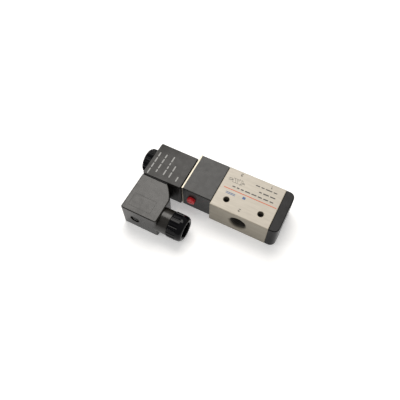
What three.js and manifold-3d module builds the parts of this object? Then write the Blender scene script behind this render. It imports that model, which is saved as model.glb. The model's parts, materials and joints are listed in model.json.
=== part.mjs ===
// A pilot-operated, normally open 3/2 solenoid directional valve for air, with quarter-inch ports.
// Millimetres, +Z up. The valve lies on one side face, its label up. +X runs along the spool from
// the coil to the end cap, and +Y from the outlet port to the supply and exhaust ports. The origin
// is midway between the two mounting holes, on the side face that the valve rests on.
import * as THREE from "three";
import { mergeVertices } from "three/addons/utils/BufferGeometryUtils.js";
import Module from "manifold-3d";

const wasm = await Module();
wasm.setup();

// ---- Driving dimensions ----
const width = 22; // side face to side face, along Z
const half = width / 2;
const bodyLength = 44.5; // aluminium block along X
const bodyHeight = 35; // aluminium block along Y
const holeInset = 8.6; // mounting-hole row from the outlet face
const holePitch = 26.2;
const holeRadius = 2.15; // clears M4
const portRadius = 6.58; // quarter-inch pipe thread, major radius
const portDepth = 9;
const portDrillRadius = 4;
const portChamfer = 0.5;
const supplyX = 11.7; // supply port; the exhaust port is at -supplyX
const spoolBore = 5.5;
const spoolTravel = 4;
const gasketThick = 0.5;
const capThick = 7.1;
const capCorner = 4.5;
const capScrewSeat = 3.6; // from the block's end face to the underside of the heads
const pilotLength = 22.1;
const pilotHeight = 32.4; // flush with the body's far face
const pilotScrewSeat = 3.4; // depth of the heads' counterbores
const pistonBore = 8.4;
const plateThick = 1.2;
const plateHeight = 32.2;
const tubeFromFar = 16.1; // armature tube axis below the far face
const tubeRadius = 4.5;
const tubeBore = 4;
const plungerTravel = 1;
const coilGap = 0.45; // filled by a flat rubber ring
const coilLength = 31;
const coilNear = 17.3; // tube axis to the face that carries the connector
const coilFar = 11.9;
const coilHole = 4.75;
const nutLength = 7.2;
const nutRadius = 9.9;
const nutLobes = 12;
const lobeDepth = 1.3;
const studRadius = 3.5;
const overrideX = 15.7; // button axis from the aluminium block
const overrideTravel = 1.5;
const overrideDepth = 11.6; // of the stem's hole
const plugGasket = 0.8;
const plugHeight = 31; // base to top face, along Y
const plugLength = 28.4; // along X, with the gland overhang
const plugBase = 20.8; // along X, where it meets the coil
const plugWidth = 21.6;
const slantHeight = 11.4;
const glandFromTop = 9; // gland axis below the connector's top face
const glandNutRadius = 9.7;
const glandNutLength = 11.35;
const round = 20; // facets of a turned piece that is hidden inside
const fine = 32; // and of one that shows

// ---- Places that follow from them ----
const spoolY = bodyHeight / 2 - holeInset;
const bodyEnd = bodyLength / 2;
const bodySide = bodyHeight / 2;
const holeY = holeInset - bodySide;
const tubeY = bodySide - tubeFromFar; // above the spool axis
const pilotNear = bodySide - pilotHeight;
const coilInner = plateThick + coilGap;
const coilOuter = coilInner + coilLength;

// ---- Materials ----
const plain = (color, roughness, metalness = 0) =>
  new THREE.MeshStandardMaterial({ color, roughness, metalness });
const anodised = plain(0xc9c2b4, 0.42, 0.9);
const labelFoil = plain(0xd8d1c2, 0.35, 0.4);
const blackNylon = plain(0x1c1c1d, 0.5);
const coilResin = plain(0x262524, 0.45);
const plugNylon = plain(0x171718, 0.4);
const redAcetal = plain(0xb3141c, 0.35);
const rubber = plain(0x111112, 0.8);
const steel = plain(0xc4c3bf, 0.3, 1);
const blackSteel = plain(0x202022, 0.45, 0.6);
const brass = plain(0xb9964e, 0.3, 1);
const copper = plain(0xb0623a, 0.35, 1);
const aluminium = plain(0xb8b8b8, 0.35, 1);
const acetal = plain(0xd9d6cc, 0.45);

// ---- Solids ----
// A closed three.js geometry as a manifold solid, with its faces turned outwards.
function solid(geometry) {
  const bare = geometry.clone();
  for (const name of ["normal", "uv"]) bare.deleteAttribute(name);
  const merged = mergeVertices(bare, 1e-5);
  const vertProperties = merged.attributes.position.array;
  const triVerts = new Uint32Array(merged.index.array);
  const made = new wasm.Manifold(new wasm.Mesh({ numProp: 3, vertProperties, triVerts }));
  if (made.volume() > 0) return made;
  return new wasm.Manifold(
    new wasm.Mesh({ numProp: 3, vertProperties, triVerts: triVerts.reverse() }),
  );
}

function cut(base, ...tools) {
  return tools.reduce((left, tool) => left.subtract(tool), base);
}

function join(first, ...others) {
  return others.reduce((left, other) => left.add(other), first);
}

// A box from its lowest to its highest corner.
function box(x0, x1, y0, y1, z0, z1) {
  const made = new THREE.BoxGeometry(x1 - x0, y1 - y0, z1 - z0);
  return solid(made.translate((x0 + x1) / 2, (y0 + y1) / 2, (z0 + z1) / 2));
}

// A turned piece from [place along the axis, radius] points. A profile that leaves the axis closes
// on itself.
function lathe(profile, sides) {
  const points = profile.map(([along, radius]) => new THREE.Vector2(radius, along));
  if (profile[0][1] > 0) points.push(points[0].clone());
  return new THREE.LatheGeometry(points, sides);
}

const turnedX = (profile, sides = round) => solid(lathe(profile, sides).rotateZ(-Math.PI / 2));
const turnedY = (profile, sides = round) => solid(lathe(profile, sides));
const turnedZ = (profile, sides = round) => solid(lathe(profile, sides).rotateX(Math.PI / 2));

const rod = (a, b, radius) => [[a, 0], [a, radius], [b, radius], [b, 0]];
const ring = (a, b, inner, outer) => [[a, inner], [a, outer], [b, outer], [b, inner]];

const rodX = (x0, x1, radius, y = 0, z = 0, sides = round) =>
  turnedX(rod(x0, x1, radius), sides).translate([0, y, z]);
const rodY = (y0, y1, radius, x = 0, z = 0, sides = round) =>
  turnedY(rod(y0, y1, radius), sides).translate([x, 0, z]);
const rodZ = (z0, z1, radius, x = 0, y = 0, sides = round) =>
  turnedZ(rod(z0, z1, radius), sides).translate([x, y, 0]);

// An outline in the XY plane, extruded along Z between two heights.
function slab(outline, z0, z1, curveSegments = 6) {
  const made = new THREE.ExtrudeGeometry(outline, {
    depth: z1 - z0,
    bevelEnabled: false,
    curveSegments,
  });
  return solid(made.translate(0, 0, z0));
}

// A rectangle whose corners at the chosen end along X are rounded.
function roundedEnd(x0, x1, y0, y1, radius) {
  const outline = new THREE.Shape();
  outline.moveTo(x0, y0);
  outline.lineTo(x1 - radius, y0);
  outline.absarc(x1 - radius, y0 + radius, radius, -Math.PI / 2, 0);
  outline.lineTo(x1, y1 - radius);
  outline.absarc(x1 - radius, y1 - radius, radius, 0, Math.PI / 2);
  outline.lineTo(x0, y1);
  outline.closePath();
  return outline;
}

// A helical compression spring along +X, from 0 to length.
class Helix extends THREE.Curve {
  constructor(length, radius, turns) {
    super();
    Object.assign(this, { length, radius, turns });
  }
  getPoint(t, target = new THREE.Vector3()) {
    const angle = 2 * Math.PI * this.turns * t;
    return target.set(
      this.length * t,
      this.radius * Math.cos(angle),
      this.radius * Math.sin(angle),
    );
  }
}

function spring(length, radius, wire, turns) {
  const section = new THREE.Shape().absarc(0, 0, wire, 0, 2 * Math.PI);
  const path = new Helix(length - 2 * wire, radius, turns);
  const made = new THREE.ExtrudeGeometry(section, {
    steps: turns * 9,
    curveSegments: 3,
    extrudePath: path,
  });
  return solid(made.translate(wire, 0, 0));
}

// The head and shank of a screw whose head's underside is at 0 and whose shank runs to +X.
function capScrew(headRadius, headHeight, shankRadius, shankLength, driveRadius) {
  const blank = turnedX(
    [[-headHeight, 0], [-headHeight, headRadius], [0, headRadius], [0, shankRadius],
      [shankLength, shankRadius], [shankLength, 0]],
    20,
  );
  const socket = rodX(-headHeight - 1, -headHeight * 0.45, driveRadius, 0, 0, 6);
  return cut(blank, socket);
}

function countersunkScrew(headRadius, headHeight, shankRadius, shankLength) {
  const blank = turnedX(
    [[0, 0], [0, headRadius], [headHeight, shankRadius], [shankLength, shankRadius],
      [shankLength, 0]],
    20,
  );
  const slot = 0.35;
  const reach = headRadius * 0.62;
  const depth = headHeight * 0.6;
  return cut(
    blank,
    box(-1, depth, -reach, reach, -slot, slot),
    box(-1, depth, -slot, slot, -reach, reach),
  );
}

// ---- Assembly ----
const valve = new THREE.Group();

function group(parent, x, y, z) {
  const made = new THREE.Group();
  made.position.set(x, y, z);
  parent.add(made);
  return made;
}

function add(parent, name, made, material, x = 0, y = 0, z = 0) {
  const { numProp, vertProperties, triVerts } = made.getMesh();
  const position = new Float32Array((vertProperties.length / numProp) * 3);
  for (let i = 0; i < position.length / 3; i++) {
    position.set(vertProperties.subarray(i * numProp, i * numProp + 3), i * 3);
  }
  const geometry = new THREE.BufferGeometry();
  geometry.setAttribute("position", new THREE.BufferAttribute(position, 3));
  geometry.setIndex(new THREE.BufferAttribute(triVerts, 1));
  const mesh = new THREE.Mesh(geometry, material);
  mesh.name = name;
  mesh.position.set(x, y, z);
  parent.add(mesh);
}

// The block: its frame is on the spool axis, at the middle of its length.
const block = group(valve, 0, spoolY, half);
const pilotScrewPlaces = [[holeY - 2.8, 7.6], [14.3, -7.6]];
const capScrewPlaces = [[-9.4, -7], [9.4, 7]];
const endScrewDepth = 5.5;
const pilotDuct = { y: 10, z: -8.1, radius: 0.9 }; // brings supply air to the pilot nozzle

// A threaded port: its full bore, a mouth chamfer, and a narrower drilling on to the spool.
function portCutter(x, side) {
  const face = side * bodySide;
  const at = (depth, radius) => [face - side * depth, radius];
  return turnedY([
    at(-1, 0),
    at(-1, portRadius + portChamfer),
    at(0, portRadius + portChamfer),
    at(portChamfer, portRadius),
    at(portDepth, portRadius),
    at(portDepth + 1.5, portDrillRadius),
    [0, portDrillRadius],
    [0, 0],
  ], fine).translate([x, 0, 0]);
}

function valveBody() {
  const blank = box(-bodyEnd, bodyEnd, -bodySide, bodySide, -half, half);
  const holes = [-1, 1].map((s) =>
    rodZ(-half - 1, half + 1, holeRadius, (s * holePitch) / 2, holeY, 24));
  const ports = [portCutter(0, -1), portCutter(supplyX, 1), portCutter(-supplyX, 1)];
  const pilotHoles = pilotScrewPlaces.map(([y, z]) =>
    rodX(-bodyEnd - 1, -bodyEnd + endScrewDepth + 0.5, 1.55, y, z, 16));
  const capHoles = capScrewPlaces.map(([y, z]) =>
    rodX(bodyEnd - endScrewDepth - 0.5, bodyEnd + 1, 1.55, y, z, 16));
  const { y, z, radius } = pilotDuct;
  const duct = rodX(-bodyEnd - 1, supplyX, radius, y, z, 10);
  const riser = rodZ(z, -portRadius + 1, radius, supplyX - 1, y, 10);
  return cut(
    blank,
    rodX(-bodyEnd - 1, bodyEnd + 1, spoolBore),
    ...holes, ...ports, ...pilotHoles, ...capHoles, duct, riser,
  );
}

function bodyLabel() {
  const margin = 0.5;
  const thick = 0.15;
  const sheet = box(
    -bodyEnd + margin, bodyEnd - margin, -bodySide + margin, bodySide - margin,
    half, half + thick,
  );
  return cut(sheet, ...[-1, 1].map((s) =>
    rodZ(half - 1, half + 1, holeRadius + 0.35, (s * holePitch) / 2, holeY, 24)));
}

function endCap() {
  const outline = roundedEnd(bodyEnd, bodyEnd + capThick, -bodySide, bodySide, capCorner);
  const screws = capScrewPlaces.flatMap(([y, z]) => [
    rodX(bodyEnd - 1, bodyEnd + capThick + 1, 1.8, y, z, 16),
    rodX(bodyEnd + capScrewSeat, bodyEnd + capThick + 1, 3.2, y, z, 20),
  ]);
  const springCavity = rodX(bodyEnd - 1, bodyEnd + 5.2, 4.6);
  const sealGroove = turnedX(ring(bodyEnd - 1, bodyEnd + 1.2, 5.9, 7.5));
  return cut(slab(outline, -half, half), springCavity, sealGroove, ...screws);
}

add(block, "valve_body", valveBody(), anodised);
add(block, "body_label", bodyLabel(), labelFoil);
add(block, "end_cap", endCap(), blackNylon);
add(block, "end_cap_seal", turnedX(ring(bodyEnd, bodyEnd + 1.15, 5.95, 7.45)), rubber);
capScrewPlaces.forEach(([y, z], i) => {
  const screw = capScrew(2.9, 2.6, 1.5, capScrewSeat + endScrewDepth, 1.5).rotate([0, 0, 180]);
  add(block, "end_cap_screw_" + (i + 1), screw, steel, bodyEnd + capScrewSeat, y, z);
});

// The spool slides towards the end cap when the pilot is on. Its seals sit in grooves. At rest the
// second seal parts the exhaust from the outlet, and the third stands inside the outlet's drilling,
// so the supply is open to the outlet. After its travel the third seal parts the supply from the
// outlet, and the second stands inside the drilling, so the outlet is open to the exhaust.
const sealHalf = 0.8;
const grooveRadius = 3.9;
const sealRadius = spoolBore - 0.05;
const landRadius = 5.2;
const waistRadius = 3;
const spoolLow = -22.6;
const spoolHigh = 18.4;
const betweenPorts = supplyX / 2; // the middle of the wall between two drillings
const beyondPorts = supplyX + portDrillRadius + 1.2;
const sealPlaces = [
  -beyondPorts - spoolTravel,
  -betweenPorts,
  betweenPorts - spoolTravel,
  beyondPorts,
];
const collarHalf = 1.2; // half a land: the seal and the shoulders that hold it

function spoolShaft() {
  const profile = [[spoolLow, 0], [spoolLow, waistRadius]];
  for (const x of sealPlaces) {
    profile.push(
      [x - collarHalf, waistRadius], [x - collarHalf, landRadius],
      [x - sealHalf, landRadius], [x - sealHalf, grooveRadius],
      [x + sealHalf, grooveRadius], [x + sealHalf, landRadius],
      [x + collarHalf, landRadius], [x + collarHalf, waistRadius],
    );
  }
  profile.push([spoolHigh, waistRadius], [spoolHigh, 0]);
  return turnedX(profile);
}

add(block, "spool", spoolShaft(), aluminium);
sealPlaces.forEach((x, i) => {
  const seal = turnedX([
    [-sealHalf, grooveRadius], [-sealHalf, sealRadius - 0.5], [-0.3, sealRadius],
    [0.3, sealRadius], [sealHalf, sealRadius - 0.5], [sealHalf, grooveRadius],
  ]);
  add(block, "spool_seal_" + (i + 1), seal, rubber, x);
});
const seatThick = 0.8;
add(block, "spring_seat", rodX(0, seatThick, 4.3), steel, spoolHigh);
const returnStart = spoolHigh + seatThick;
const returnLength = bodyEnd + 5.1 - returnStart;
add(block, "return_spring", spring(returnLength, 3.5, 0.4, 4), steel, returnStart);

// The pilot: its frame is on the spool axis, at the face against the gasket.
const pilot = group(block, -bodyEnd - gasketThick, 0, 0);
const pistonDepth = 9.4;
const flangeDepth = 1.8;
const tubeSealDepth = 1.2;

// Holes that the pilot body, its gasket and the plate have to share.
const pilotScrewHoles = (x0, x1, radius, sides = 16) =>
  pilotScrewPlaces.map(([y, z]) => rodX(x0, x1, radius, y, z, sides));
const plateScrewPlaces = [[holeY - 2.8, -7.4], [14.3, 7.4]];

// A drilling across the pilot body at x, from one place in the YZ plane to another.
function crossHole(x, from, to, radius) {
  const [dy, dz] = [to.y - from.y, to.z - from.z];
  const angle = (Math.atan2(dz, dy) * 180) / Math.PI;
  return rodY(0, Math.hypot(dy, dz), radius, 0, 0, 10)
    .rotate([angle, 0, 0])
    .translate([x, from.y, from.z]);
}

function pilotGasket() {
  const inset = 0.4;
  const [near, far] = [pilotNear + inset, bodySide - inset];
  const sheet = box(0, gasketThick, near, far, -half + inset, half - inset);
  return cut(
    sheet,
    rodX(-1, 1, 6),
    ...pilotScrewHoles(-1, 1, 1.8),
    rodX(-1, 1, pilotDuct.radius, pilotDuct.y, pilotDuct.z, 10),
  );
}

function pilotBody() {
  const face = -pilotLength;
  const blank = box(face, 0, pilotNear, bodySide, -half, half);
  const flangeSeat = rodX(face - 1, face + flangeDepth, 7.1, tubeY);
  const sealGroove = turnedX(ring(face, face + flangeDepth + tubeSealDepth, 4.9, 6.6))
    .translate([0, tubeY, 0]);
  const nozzleWell = rodX(face, face + 4.05, 3.9, tubeY, 0, 24);
  const nozzleHole = rodX(face, face + 6.6, 2.2, tubeY, 0, 20);
  const nozzleFeed = rodX(face, face + 8, 0.9, tubeY, 0, 10);
  const crossDrill = crossHole(face + 7.3, pilotDuct, { y: tubeY, z: 0 }, 0.6);
  const pistonFeed = rodX(face + 3, -pistonDepth + 0.3, 0.55, tubeY, 3.1, 10);
  const screwHeads = pilotScrewHoles(face - 1, face + pilotScrewSeat, 3.1, 20);
  const plateScrews = plateScrewPlaces.map(([y, z]) => rodX(face - 1, face + 8.5, 1.35, y, z, 12));
  const x = gasketThick - overrideX;
  const buttonWell = rodY(pilotNear - 1, pilotNear + 3.4, 3.4, x, 0, 24);
  const stemHole = rodY(pilotNear, pilotNear + overrideDepth, 2.6, x, 0, 24);
  return cut(
    blank,
    rodX(-pistonDepth, 1, pistonBore),
    flangeSeat, sealGroove, nozzleWell, nozzleHole, nozzleFeed, crossDrill, pistonFeed,
    ...screwHeads, ...pilotScrewHoles(face, 1, 1.8), ...plateScrews,
    rodX(face + 6.6, 1, pilotDuct.radius, pilotDuct.y, pilotDuct.z, 10),
    buttonWell, stemHole,
  );
}

function pilotNozzle() {
  return turnedX([
    [0, 0.5], [0, 0.9], [1.1, 1.1], [1.1, 2.15], [3.6, 2.15], [3.6, 0.5],
  ], 20);
}

function pilotPiston() {
  return turnedX([
    [0, 0], [0, pistonBore - 0.7], [0.9, pistonBore - 0.3], [0.9, 6.9], [2.5, 6.9],
    [2.5, pistonBore - 0.3], [3.6, pistonBore - 0.3], [3.6, 3.4], [8.7, 3.4], [8.7, 0],
  ]);
}

add(pilot, "pilot_gasket", pilotGasket(), rubber);
add(pilot, "pilot_body", pilotBody(), blackNylon);
add(pilot, "pilot_nozzle", pilotNozzle(), brass, -pilotLength + 3, tubeY);
pilotScrewPlaces.forEach(([y, z], i) => {
  const shank = pilotLength - pilotScrewSeat + gasketThick + endScrewDepth;
  const screw = capScrew(2.8, 2.9, 1.5, shank, 1.45);
  add(pilot, "pilot_screw_" + (i + 1), screw, steel, -pilotLength + pilotScrewSeat, y, z);
});
const pistonX = spoolLow + bodyEnd + gasketThick - 8.7;
add(pilot, "pilot_piston", pilotPiston(), acetal, pistonX);
const pistonSeal = turnedX(ring(0.95, 2.45, 6.95, pistonBore - 0.05));
add(pilot, "piston_seal", pistonSeal, rubber, pistonX);

// The manual override: its frame is at the middle of the button's well, on the pilot's near face.
const override = group(pilot, gasketThick - overrideX, pilotNear, 0);
const buttonOut = overrideTravel + 0.7; // still proud of the face when it is pushed home
const grooveLow = 4.4;
const grooveHigh = 5.5;
const stemEnd = 7.4;

function overrideButton() {
  const blank = turnedY([
    [-buttonOut, 0], [-buttonOut, 2.8], [-buttonOut + 0.4, 3.2], [1.6, 3.2], [1.6, 2.4],
    [grooveLow, 2.4], [grooveLow, 1.8], [grooveHigh, 1.8], [grooveHigh, 2.4],
    [stemEnd, 2.4], [stemEnd, 0],
  ], 24);
  return cut(blank, box(-2.4, 2.4, -buttonOut - 1, -buttonOut + 1, -0.4, 0.4));
}

add(override, "override_button", overrideButton(), redAcetal);
const overrideSeal = turnedY(ring(grooveLow + 0.05, grooveHigh - 0.05, 1.85, 2.5), 24);
add(override, "override_seal", overrideSeal, rubber);
const overrideSpring = spring(overrideDepth - stemEnd - 0.1, 1.7, 0.25, 4).rotate([0, 0, 90]);
add(override, "override_spring", overrideSpring, steel, 0, stemEnd + 0.05);

// The armature tube: its frame is on the tube axis, at the plate's face against the pilot body.
const tube = group(pilot, -pilotLength, tubeY, 0);
const plateNear = bodySide - plateHeight - tubeY;
const coreFace = -17.5;
const coreEnd = -coilOuter - 0.1;
const plungerFront = 2.55;
const plungerBack = coreFace + plungerTravel + 0.05;

function tubePlate() {
  const blank = box(-plateThick, 0, plateNear, bodySide - tubeY, -half, half);
  const screws = plateScrewPlaces.map(([y, z]) =>
    turnedX([[-plateThick - 0.5, 0], [-plateThick - 0.5, 3], [-plateThick, 3],
      [-plateThick + 1.1, 1.45], [0.5, 1.45], [0.5, 0]], 20).translate([0, y - tubeY, z]));
  return cut(blank, rodX(-plateThick - 1, 1, tubeRadius + 0.1), ...screws);
}

function armatureTube() {
  return turnedX([
    [-coilOuter, tubeBore], [-coilOuter, tubeRadius], [0, tubeRadius], [0, 7],
    [flangeDepth - 0.05, 7], [flangeDepth - 0.05, tubeBore],
  ]);
}

function fixedCore() {
  return turnedX([
    [coreEnd - 6.6, 0.8], [coreEnd - 6.6, studRadius - 0.5], [coreEnd - 6.1, studRadius],
    [coreEnd, studRadius], [coreEnd, tubeBore], [coreFace, tubeBore], [coreFace, 0.8],
  ]);
}

// The plunger is bored from behind for its spring and grooved along its length to let air by.
function plunger() {
  const bored = turnedX([
    [plungerBack, 2], [plungerBack, tubeBore - 0.15], [plungerFront - 1, tubeBore - 0.15],
    [plungerFront - 0.5, 3.4], [plungerFront, 3.4], [plungerFront, 1.6],
    [plungerFront - 1.2, 1.6], [plungerFront - 1.2, 0], [plungerBack + 7, 0],
    [plungerBack + 7, 2],
  ], 24);
  const groove = (z) => box(plungerBack - 1, 0, -0.5, 0.5, z - 0.6, z + 0.6);
  return cut(bored, groove(tubeBore - 0.15), groove(0.15 - tubeBore));
}

add(tube, "tube_plate", tubePlate(), steel);
plateScrewPlaces.forEach(([y, z], i) => {
  const screw = countersunkScrew(2.9, 1.05, 1.25, 9);
  add(tube, "plate_screw_" + (i + 1), screw, steel, -plateThick, y - tubeY, z);
});
add(tube, "armature_tube", armatureTube(), brass);
const tubeSeal = turnedX(ring(flangeDepth, flangeDepth + tubeSealDepth - 0.05, 4.95, 6.55));
add(tube, "tube_seal", tubeSeal, rubber);
add(tube, "fixed_core", fixedCore(), steel);
add(tube, "plunger", plunger(), steel);
add(tube, "plunger_seal", rodX(plungerFront - 1.15, plungerFront + 0.4, 1.55, 0, 0, 20), rubber);
const plungerSpring = spring(plungerBack + 6.95 - coreFace - 0.05, 1.5, 0.25, 6);
add(tube, "plunger_spring", plungerSpring, steel, coreFace + 0.05);

// The coil, round the tube. It shares the tube's frame and turns about it.
const coil = group(tube, 0, 0, 0);
const plugX = -coilOuter + 0.5 + plugBase / 2; // middle of the connector's base
const cavity = 9.4;
const yokeThick = 1.5;
const yokeHalf = 8.6;
const bobbinHalf = 7.7;
const bladeX = 5.5;
const groundZ = 5.6;
const bladeIn = 3;
const bladeOut = 9.4;

function coilCase() {
  const outline = new THREE.Shape();
  const corner = 1.2;
  const [x0, x1, y0, y1] = [-coilOuter, -coilInner, -coilNear, coilFar];
  outline.moveTo(x0 + corner, y0);
  outline.lineTo(x1, y0);
  outline.lineTo(x1, y1);
  outline.lineTo(x0 + corner, y1);
  outline.absarc(x0 + corner, y1 - corner, corner, Math.PI / 2, Math.PI);
  outline.absarc(x0 + corner, y0 + corner, corner, Math.PI, 1.5 * Math.PI);
  const inner = box(x0 + 2.1, x1 + 1, -cavity, cavity, -cavity, cavity);
  const slots = [-1, 1].map((s) => bladeBox(plugX + s * bladeX, 0, 0.4, 2.4, 0.05));
  return cut(
    slab(outline, -half, half, 3),
    inner,
    rodX(x0 - 1, x1 + 1, coilHole),
    ...slots,
    bladeBox(plugX, groundZ, 2.4, 0.4, 0.05),
    rodY(-coilNear - 1, -coilNear + 7, 1.55, plugX, 0, 16),
  );
}

// A blade's block, grown by a clearance where it is used to cut its slot.
function bladeBox(x, z, halfX, halfZ, grow = 0) {
  return box(
    x - halfX - grow, x + halfX + grow,
    -coilNear - bladeOut, -coilNear + bladeIn + grow,
    z - halfZ - grow, z + halfZ + grow,
  );
}

// Two end plates and a web, bent from one strip.
function coilYoke() {
  const high = cavity - 0.1;
  const [near, far] = [-coilInner, -coilOuter + 2.2];
  const plates = [near - yokeThick, far].map((x) =>
    box(x, x + yokeThick, -8, high, -yokeHalf, yokeHalf));
  const web = box(far, near, high - yokeThick, high, -yokeHalf, yokeHalf);
  return cut(join(web, ...plates), rodX(far - 1, near + 1, coilHole));
}

const bobbinNear = -coilInner - yokeThick - 0.05;
const bobbinFar = -coilOuter + 2.2 + yokeThick + 0.05;

function coilBobbin() {
  return turnedX([
    [bobbinFar, coilHole], [bobbinFar, bobbinHalf], [bobbinFar + 1, bobbinHalf],
    [bobbinFar + 1, 5.5], [bobbinNear - 1, 5.5], [bobbinNear - 1, bobbinHalf],
    [bobbinNear, bobbinHalf], [bobbinNear, coilHole],
  ]);
}

add(coil, "coil_case", coilCase(), coilResin);
add(coil, "coil_seal", turnedX(ring(-coilInner, -plateThick - 0.05, 5, 8.4)), rubber);
add(coil, "coil_yoke", coilYoke(), steel);
add(coil, "coil_bobbin", coilBobbin(), acetal);
const winding = turnedX(ring(bobbinFar + 1.05, bobbinNear - 1.05, 5.55, bobbinHalf - 0.4));
add(coil, "coil_winding", winding, copper);
add(coil, "coil_blade_1", bladeBox(plugX - bladeX, 0, 0.4, 2.4), brass);
add(coil, "coil_blade_2", bladeBox(plugX + bladeX, 0, 0.4, 2.4), brass);
add(coil, "ground_blade", bladeBox(plugX, groundZ, 2.4, 0.4), brass);

// The nut that holds the coil on the tube's stud. Its frame is at the coil's outer face.
const nut = group(tube, -coilOuter, 0, 0);

function coilNut() {
  const outline = new THREE.Shape();
  const steps = nutLobes * 6;
  for (let i = 0; i < steps; i++) {
    const angle = (2 * Math.PI * i) / steps;
    const radius = nutRadius - lobeDepth * (0.5 - 0.5 * Math.cos(angle * nutLobes));
    const point = [radius * Math.cos(angle), radius * Math.sin(angle)];
    if (i) outline.lineTo(...point);
    else outline.moveTo(...point);
  }
  outline.closePath();
  const crown = turnedX([
    [-nutLength - 1, 0], [-nutLength - 1, 7.7], [-nutLength, 8.4], [-nutLength + 1.4, 9.8],
    [-1, 10.5], [1, 10.5], [1, 0],
  ], fine);
  const lobed = slab(outline, 0.15, nutLength).rotate([0, -90, 0]).intersect(crown);
  return cut(
    lobed,
    rodX(-nutLength - 1, 1, 5.2),
    turnedX(ring(-1.3, 1, 5.6, 7.6)),
  );
}

add(nut, "coil_nut", coilNut(), blackNylon);
add(nut, "nut_insert", turnedX(ring(-nutLength + 0.8, -0.2, studRadius + 0.2, 5.15)), brass);
add(nut, "nut_seal", turnedX(ring(-1.25, -0.05, 5.7, 7.5)), rubber);

// The connector: its frame is at the middle of its base, on the coil's near face. -Y is its top.
const plug = group(coil, plugX, -coilNear, 0);
const base = -plugGasket;
const top = base - plugHeight;
const baseHalf = plugBase / 2;
const overhang = plugLength - baseHalf; // +X reach of the gland side
const plugHalf = plugWidth / 2;
const plugWall = 1.8;
const insertDepth = 14.6;
const glandY = top + glandFromTop;
const screwRecess = 2.6;
const neckLength = 7.2;
const neckEnd = 14.6;
const neckBore = 6;

function plugOutline(inset) {
  const shape = new THREE.Shape();
  const corner = 1.6 - inset * 0.6;
  const [low, high] = [-baseHalf + inset, overhang - inset];
  shape.moveTo(low, base);
  shape.lineTo(low, top + inset + corner);
  shape.absarc(low + corner, top + inset + corner, corner, Math.PI, 1.5 * Math.PI);
  shape.lineTo(high - corner, top + inset);
  shape.absarc(high - corner, top + inset + corner, corner, -Math.PI / 2, 0);
  shape.lineTo(high, base - slantHeight);
  shape.quadraticCurveTo(high - 2.2, base - slantHeight / 2, baseHalf - inset, base);
  shape.closePath();
  return shape;
}

function plugHousing() {
  const shell = slab(plugOutline(0), -plugHalf, plugHalf, 5);
  const neck = turnedX([
    [overhang - 3, 0], [overhang - 3, 9.3], [overhang + neckLength, 9.3],
    [overhang + neckLength, 7.6], [overhang + neckEnd, 7.6], [overhang + neckEnd, 0],
  ], fine).translate([0, glandY, 0]);
  const chamber = slab(plugOutline(plugWall), -plugHalf + plugWall, plugHalf - plugWall, 5);
  const mouth = box(
    -baseHalf + plugWall, baseHalf - plugWall, base - 2, base + 1,
    -plugHalf + plugWall, plugHalf - plugWall,
  );
  return cut(
    join(shell, neck),
    chamber, mouth,
    rodX(overhang - 4, overhang + neckEnd + 1, neckBore, glandY, 0, fine),
    rodY(top - 1, top + 5, 1.6, 0, 0, 16),
    rodY(top - 1, top + screwRecess, 3.6, 0, 0, 24).subtract(rodY(top + screwRecess, top + 5, 4)),
  );
}

// The terminal block inside, with a pocket for each contact.
function plugInsert() {
  const gap = 0.3;
  const [x, z] = [baseHalf - plugWall - gap, plugHalf - plugWall - gap];
  const block = box(-x, x, base - insertDepth, base - 0.3, -z, z);
  const pockets = [-1, 1].map((s) => contactBox(s * bladeX, 0, 1.4, 3, 0.05));
  const windows = [-1, 1].map((s) => box(s * bladeX - 0.6, s * bladeX + 0.6, -3, 0, -2.7, 2.7));
  return cut(
    block,
    ...pockets,
    ...windows,
    contactBox(0, groundZ, 3, 1.4, 0.05),
    box(-2.7, 2.7, -3, 0, groundZ - 0.6, groundZ + 0.6),
    rodY(base - insertDepth - 1, base + 1, 1.7, 0, 0, 16),
    box(-x - 1, -x + 2, base - insertDepth - 1, base - insertDepth + 5, -z - 1, z + 1),
  );
}

function contactBox(x, z, halfX, halfZ, grow = 0) {
  return box(
    x - halfX - grow, x + halfX + grow, base - 11 - grow, base - 0.9 + grow,
    z - halfZ - grow, z + halfZ + grow,
  );
}

// A folded socket that grips one blade.
function contact(x, z, halfX, halfZ, slotX, slotZ) {
  const slot = box(x - slotX, x + slotX, base - 10, base + 1, z - slotZ, z + slotZ);
  return cut(contactBox(x, z, halfX, halfZ), slot);
}

function plugGasketSheet() {
  const inset = 0.3;
  const [x, z] = [baseHalf - inset, plugHalf - inset];
  const sheet = box(-x, x, base + 0.05, -0.05, -z, z);
  const windows = [-1, 1].map((s) => box(s * bladeX - 1.2, s * bladeX + 1.2, -2, 1, -3.2, 3.2));
  return cut(
    sheet,
    ...windows,
    box(-3.2, 3.2, -2, 1, groundZ - 1.2, groundZ + 1.2),
    rodY(-2, 1, 1.8, 0, 0, 16),
  );
}

function plugScrew() {
  const head = screwRecess - 0.5;
  const seat = top + screwRecess + 0.05;
  const blank = turnedY([
    [seat - head, 0], [seat - head, 2.2], [seat - head + 0.6, 2.75], [seat, 2.75],
    [seat, 1.4], [5.5, 1.4], [5.5, 0],
  ], 20);
  return cut(blank, box(-3, 3, seat - head - 1, seat - head + 0.9, -0.4, 0.4));
}

add(plug, "plug_gasket", plugGasketSheet(), rubber);
add(plug, "plug_insert", plugInsert(), acetal);
add(plug, "plug_contact_1", contact(-bladeX, 0, 1.4, 3, 0.6, 2.6), brass);
add(plug, "plug_contact_2", contact(bladeX, 0, 1.4, 3, 0.6, 2.6), brass);
add(plug, "plug_contact_3", contact(0, groundZ, 3, 1.4, 2.6, 0.6), brass);
add(plug, "plug_housing", plugHousing(), plugNylon);
add(plug, "plug_screw", plugScrew(), blackSteel);

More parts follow.
